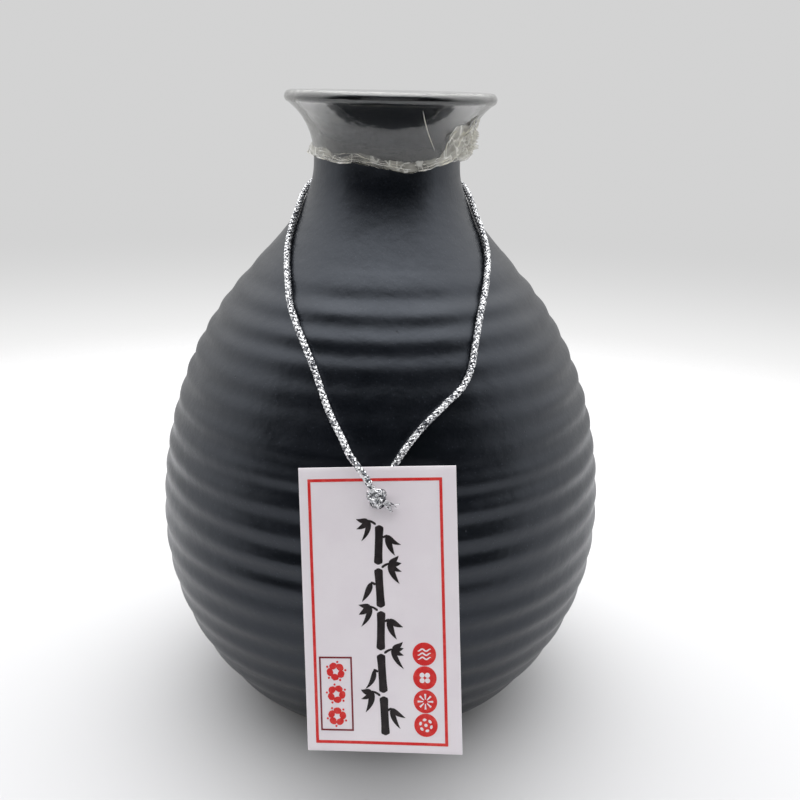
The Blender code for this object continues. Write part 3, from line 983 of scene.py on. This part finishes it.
def make_card():
    """Card with a punched hole: a 1 mm grid, with rings of quads from the hole to a square."""
    half, side = 3.0, 6
    columns = np.linspace(-TAG.width / MM / 2, TAG.width / MM / 2, 33)
    rows = [0.0, *np.arange(HOLE_DROP - half - 3, TAG.length / MM - 0.5, 1.0), TAG.length / MM]
    points, faces = [TAG.point(u, v) for v in rows for u in columns], []
    for i in range(len(rows) - 1):
        for j in range(len(columns) - 1):
            u, v = (columns[j] + columns[j + 1]) / 2, (rows[i] + rows[i + 1]) / 2
            if abs(u) < half and abs(v - HOLE_DROP) < half:
                continue
            corner = i * len(columns) + j
            faces.append((corner, corner + 1, corner + 1 + len(columns), corner + len(columns)))
    top = next(i for i, v in enumerate(rows) if abs(v - (HOLE_DROP - half)) < 0.01)
    left = next(j for j, u in enumerate(columns) if abs(u + half) < 0.01)
    corners = [(0, 0, 0, 1), (0, side, 1, 0), (side, side, 0, -1), (side, 0, -1, 0)]
    square = [(top + i + k * di, left + j + k * dj) for i, j, di, dj in corners for k in range(side)]
    outer = [i * len(columns) + j for i, j in square]
    for share in (0.55, 0.22, 0.0):
        inner = []
        for i, j in square:
            u, v = columns[j], rows[i] - HOLE_DROP
            reach = share + (1 - share) * HOLE_RADIUS / math.hypot(u, v)
            inner.append(len(points))
            points.append(TAG.point(u * reach, HOLE_DROP + v * reach))
        for k in range(len(square)):
            after = (k + 1) % len(square)
            faces.append((outer[k], outer[after], inner[after], inner[k]))
        outer = inner
    card = mesh_object("tag_card", points, faces, CARD)
    sheet = card.modifiers.new("thickness", "SOLIDIFY")
    sheet.thickness = TAG.thickness
    sheet.offset = 0
    edge = card.modifiers.new("edge", "BEVEL")
    edge.width = 0.06 * MM
    edge.segments = 2
    edge.limit_method = "ANGLE"
    card.data.set_sharp_from_angle(angle=math.radians(40))
    return card


INK_HEIGHT = 0.03


def polar(centre, reach, angle):
    """The point at a distance from another, at an angle that turns from across to down."""
    return centre[0] + reach * math.cos(angle), centre[1] + reach * math.sin(angle)


def bent_line(start, end, bend, count):
    """Shares from 0 to 1, and points at them on a line that bends away between its ends."""
    start, end = np.array(start, float), np.array(end, float)
    way = end - start
    t = np.linspace(0, 1, count)
    return t, start + way * t[:, None] + np.array([-way[1], way[0]]) * (bend * 4 * t * (1 - t))[:, None]


class Print:
    """Marks of one colour on the tag, as thin raised ink. All in millimetres."""

    def __init__(self, name, finish, layer=0):
        self.name, self.finish = name, finish
        self.level = FACE + 0.008 + layer * (INK_HEIGHT + 0.004)
        self.parts = []

    def strip(self, line, widths):
        """A stroke along a line of (across, down) points, with its width at each point."""
        line = np.asarray(line, float)
        along = unit(np.gradient(line, axis=0))
        side = np.stack([-along[:, 1], along[:, 0]], axis=1) * np.asarray(widths, float)[:, None] / 2
        points = []
        for level in (self.level, self.level + INK_HEIGHT):
            for (u1, v1), (u2, v2) in zip(line + side, line - side):
                points += [TAG.point(u1, v1, level), TAG.point(u2, v2, level)]
        n = 2 * len(line)
        faces = []
        for k in range(0, n - 2, 2):
            faces.append((k, k + 1, k + 3, k + 2))
            faces.append((n + k, n + k + 2, n + k + 3, n + k + 1))
            faces.append((k, k + 2, n + k + 2, n + k))
            faces.append((k + 1, n + k + 1, n + k + 3, k + 3))
        faces += [(0, n, n + 1, 1), (n - 2, n - 1, 2 * n - 1, 2 * n - 2)]
        self.parts.append((points, faces))

    def disc(self, centre, radius, stretch=1.0, turn=0.0, ragged=0.0):
        """A filled round or oval mark, stretched across its turned upright axis."""
        count = 48
        points = []
        for level in (self.level, self.level + INK_HEIGHT):
            points.append(TAG.point(*centre, level))
            for k in range(count):
                a = 2 * math.pi * k / count
                r = radius * (1 + ragged * noise(Vector((*polar(centre, 2, a), 3))))
                along = polar(centre, r * stretch * math.cos(a), turn)
                points.append(TAG.point(*polar(along, r * math.sin(a), turn + math.pi / 2), level))
        n = count + 1
        faces = []
        for k in range(count):
            a, b = 1 + k, 1 + (k + 1) % count
            faces += [(0, b, a), (n, n + a, n + b), (a, b, n + b, n + a)]
        self.parts.append((points, faces))

    def twig(self, start, end, bend, width=0.5):
        """A thin stroke with an uneven edge, full at first and drawn out thin."""
        t, line = bent_line(start, end, bend, 10)
        full = np.minimum(1, t / 0.10 + 0.02) ** 0.5 * (1 - 0.4 * t**2.2) ** 0.8
        wobble = [1 + 0.10 * noise(Vector((u * 1.6, v * 1.6, width))) for u, v in line]
        self.strip(line, width * np.maximum(full, 0.04) * wobble)

    def leaf(self, start, end, bend, width):
        """A leaf pressed out with the brush: round near its stalk, and drawn out to a long point."""
        t, line = bent_line(start, end, bend, 22)
        self.strip(line, width * np.maximum(np.sin(math.pi * t**0.62) ** 0.85, 0.05))

    def make(self):
        return mesh_object(self.name, *joined(self.parts), self.finish, smooth=False)


def frame_print(marks, left, top, right, bottom, width):
    """A ruled frame, cut about every 2 mm so that it follows the card."""
    half = width / 2
    lines = [((left - half, v), (right + half, v)) for v in (top, bottom)]
    lines += [((u, top + half), (u, bottom - half)) for u in (left, right)]
    for ends in lines:
        line = evenly(ends, step=2)
        marks.strip(line, np.full(len(line), width))


# Layout of the tag, in millimetres across from its middle and down from its top edge.
CANE_TOP = 11.9
CANE_STEP = 8.85
CANE_BREAK = 0.75
BLOSSOMS = [(-9.65, 42.2 + 4.75 * k) for k in range(3)]
DISCS = [(8.7, 38.4 + 4.9 * k) for k in range(4)]
DISC_RADIUS = 2.4


def bamboo_print():
    """A bamboo cane in ink down the middle, with sprays of leaves at its joints."""
    marks = Print("bamboo_print", BLACK)
    rng = random.Random(8)
    sway = (0.2, -0.25, 0.1, -0.2, 0.15, 0.35)
    for k in range(5):
        top = (sway[k], CANE_TOP + CANE_STEP * k)
        foot = (sway[k + 1], CANE_TOP + CANE_STEP * (k + 1) - CANE_BREAK)
        t, line = bent_line(top, foot, 0, 24)
        ends = np.sqrt(np.clip(1 - np.abs(2 * t - 1) ** 14, 0, 1))
        marks.strip(line, (1.6 + 0.5 * np.abs(2 * t - 1) ** 4) * np.maximum(ends, 0.15))
        side = 1 if k % 2 else -1
        sprays = [
            (side, -0.1, 1.7, -0.9, ((24, 4.6), (58, 4.3), (96, 3.6), (128, 2.6))[: 3 + k % 2]),
            (-side, (2.6, 3.4, 2.2, 3.8, 3.0)[k], 0.9, -0.5, ((22, 4.4), (56, 3.9))[: 1 + (k + 1) % 2]),
        ]
        for way, drop, reach, rise, leaves in sprays:
            root = (top[0] + way * 0.7, top[1] + drop)
            twig = (root[0] + way * reach, root[1] + rise)
            marks.twig(root, twig, -way * 0.08)
            for slant, size in leaves:
                slant = math.radians(slant + rng.uniform(-6, 6))
                start = (twig[0] - way * rng.uniform(0.0, 0.3), twig[1] + rng.uniform(-0.1, 0.1))
                size *= min(1, (4.5 - abs(start[0])) / max(0.1, size * math.sin(slant)))
                tip = (start[0] + way * size * math.sin(slant), start[1] + size * math.cos(slant))
                marks.leaf(start, tip, way * rng.uniform(0.04, 0.12), rng.uniform(1.05, 1.35))
    return marks.make()


def blossom(marks, centre, size, turn):
    """Five round petals with a ring of dots between them."""
    for k in range(5):
        a = turn + 2 * math.pi * k / 5
        marks.disc(polar(centre, 0.60 * size, a), 0.40 * size, 0.82, a, ragged=0.12)
        marks.disc(polar(centre, 0.98 * size, a + math.pi / 5), 0.11 * size)


def red_prints():
    """Border round the card, blossoms in the small frame, and four discs down the right side."""
    half = TAG.width / MM / 2
    foot = TAG.length / MM
    marks = Print("red_print", RED)
    frame_print(marks, -half + 2.1, 2.6, half - 3.15, foot - 1.95, 0.6)
    for k, place in enumerate(BLOSSOMS):
        blossom(marks, place, 2.05, 0.5 + 0.9 * k)
    for place in DISCS:
        marks.disc(place, DISC_RADIUS)
    seal = Print("seal_frame_print", DARK_RED)
    frame_print(seal, -12.9, 39.3, -6.4, 54.5, 0.35)
    return marks.make(), seal.make()


def disc_marks():
    """White ripples, a clover, a wheel of spokes and a ring of drops on the discs."""
    marks = Print("disc_marks", CARD, layer=1)
    ripples, clover, wheel, drops = DISCS
    t = np.linspace(-1, 1, 17)
    for k in (-1, 0, 1):
        line = np.stack([ripples[0] + 1.35 * t, ripples[1] + 0.85 * k + 0.22 * np.sin(t * 5.2)], axis=1)
        marks.strip(line, 0.30 * (1 - 0.6 * np.abs(t) ** 3))
    for k in range(4):
        marks.disc(polar(clover, 0.78, math.pi / 4 + k * math.pi / 2), 0.52)
    for k in range(8):
        a = k * math.pi / 4
        _, line = bent_line(polar(wheel, 0.45, a), polar(wheel, 1.6, a), 0, 6)
        marks.strip(line, np.linspace(0.18, 0.42, 6))
    for k in range(6):
        a = k * math.pi / 3 + 0.3
        marks.disc(polar(drops, 1.15, a), 0.40, 0.7, a)
    marks.disc(drops, 0.34)
    return marks.make()


card = make_card()
bamboo = bamboo_print()
red_marks, seal_frame = red_prints()
white_marks = disc_marks()


# ---- which body each piece rides on


prints = [bamboo, red_marks, seal_frame, white_marks]

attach(bottle, "bottle")
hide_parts("bottle")

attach(stopper, "stopper")
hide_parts("cork_stopper")

for piece in (film, hem, hem_band, folds, crumples):
    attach(piece, "film")
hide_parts("seal_film")

for piece in (card, knot, tail, *prints):
    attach(piece, "tag")
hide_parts("hang_tag")
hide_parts("cord_knot")
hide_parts("cord_tail")

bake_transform(cord)
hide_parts("neck_cord")


# ---- table, light and background


FLOOR_RADIUS = 0.40


def make_floor():
    bm = bmesh.new()
    bmesh.ops.create_circle(bm, cap_ends=True, radius=FLOOR_RADIUS, segments=96)
    mesh = bpy.data.meshes.new("floor")
    bm.to_mesh(mesh)
    bm.free()
    mesh.materials.append(floor_material(FLOOR_RADIUS))
    floor = linked(bpy.data.objects.new("floor", mesh))


def make_world():
    """White surroundings with a grey wall behind, brighter overhead, and dark in front, where the viewer is.
    What the camera sees of them is white at the table's edge and greyer above it."""
    world = bpy.data.worlds.new("surroundings")
    world.use_nodes = True
    bpy.context.scene.world = world
    nodes = Nodes(world.node_tree)
    way = nodes.parts(nodes.add("ShaderNodeTexCoord", "Generated"))
    front, up = nodes.times(way[1], -1.0), way[2]
    seen = nodes.sloped(up, -0.33, -0.15, 1.05, 0.65)
    above = nodes.times(nodes.math("POWER", nodes.math("MAXIMUM", up, 0.0), 1.4), 1.9)
    dark = nodes.times(nodes.sloped(front, 0.14, 0.52), nodes.sloped(up, -0.32, -0.06))
    dark = nodes.times(dark, nodes.sloped(up, 0.76, 0.94, 0.99, 0))
    behind = nodes.sloped(front, -0.9, -0.5, 0.36, 0)
    wall = nodes.times(behind, nodes.sloped(up, 0.2, 0.55, 1, 0))
    unlit = nodes.math("MAXIMUM", dark, wall)
    lit = nodes.times(nodes.plus(above, 0.98), nodes.math("SUBTRACT", 1.0, unlit))
    camera_ray = nodes.add("ShaderNodeLightPath", "Is Camera Ray")
    strength = nodes.add("ShaderNodeMix", settings={"data_type": "FLOAT"}, i0=camera_ray, i2=lit, i3=seen)
    background = world.node_tree.nodes["Background"]
    nodes.put(background, "Color", (1.0, 1.0, 1.0, 1.0))
    nodes.put(background, "Strength", strength)


def soft_light(name, place, target, size, power, reflected=True):
    data = bpy.data.lights.new(name, "AREA")
    data.shape = "RECTANGLE"
    data.size, data.size_y = size
    data.energy = power
    light = linked(bpy.data.objects.new(name, data))
    way = Vector(target) - Vector(place)
    light.matrix_world = Matrix.Translation(place) @ way.to_track_quat("-Z", "Y").to_matrix().to_4x4()
    light.visible_camera = False
    light.visible_glossy = reflected


bpy.context.scene.view_settings.view_transform = "Standard"
make_floor()
make_world()
soft_light("overhead", (0, 0.06, 0.62), (0, 0.02, 0), (0.50, 0.42), 0.55)
soft_light("fill", (0, -0.60, 0.34), (0, 0, 0.03), (0.60, 0.40), 0.50, reflected=False)
